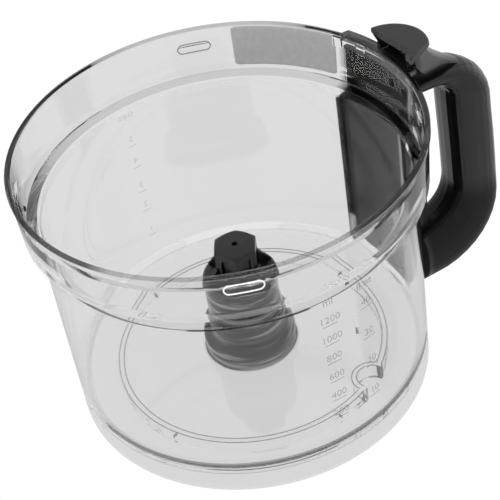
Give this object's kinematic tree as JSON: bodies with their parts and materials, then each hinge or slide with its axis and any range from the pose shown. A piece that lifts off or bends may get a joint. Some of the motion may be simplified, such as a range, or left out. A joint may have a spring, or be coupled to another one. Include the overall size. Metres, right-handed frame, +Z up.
{
  "type": "food processor bowl",
  "caption": "Clear round food processor bowl with a wide lid collar, a central black drive spindle, and a black side handle that holds the lid interlock.",
  "frame": {"origin": "on the bowl's axis, in the plane that its skirt stands on", "axes": "+Z up along the spindle, +X from the axis through the middle of the handle"},
  "size_m": [0.2262, 0.18, 0.1395],
  "materials": {
    "clear": "clear, polished moulded plastic",
    "label": "thin grey translucent film",
    "black_gloss": "glossy moulded",
    "black_satin": "satin moulded",
    "nylon": "natural nylon",
    "steel": "ground",
    "bronze": "sintered bronze",
    "rubber": "matt"
  },
  "bodies": {
    "bowl_assembly": {"bowl": "clear", "rim_label": "label", "bearing_sleeve": "black_satin", "upper_bush": "bronze", "lower_bush": "bronze", "shaft_seal": "rubber", "head_washer": "nylon", "thrust_washer": "steel", "handle_body": "black_gloss", "handle_cover": "black_gloss", "interlock_hood": "black_satin", "rod_spring": "steel", "rod_guide": "nylon", "handle_screw_upper_left": "steel", "handle_screw_upper_right": "steel", "handle_screw_lower_left": "steel", "handle_screw_lower_right": "steel"},
    "spindle": {"drive_head": "black_gloss", "spindle_core": "steel", "retaining_ring": "steel", "drive_coupling": "black_satin"},
    "interlock": {"push_rod": "nylon"}
  },
  "joints": [
    {"name": "spindle_spin", "type": "hinge", "parent": "bowl_assembly", "child": "spindle", "pos_m": [0, 0, 0.05], "axis": [0, 0, 1], "continuous": true},
    {"name": "rod_press", "type": "slide", "parent": "bowl_assembly", "child": "interlock", "axis": [0, 0, -1], "range_m": [0, 0.005], "stiffness_N_per_m": 400, "springref_m": -0.004, "deforming": ["rod_spring"]}
  ]
}
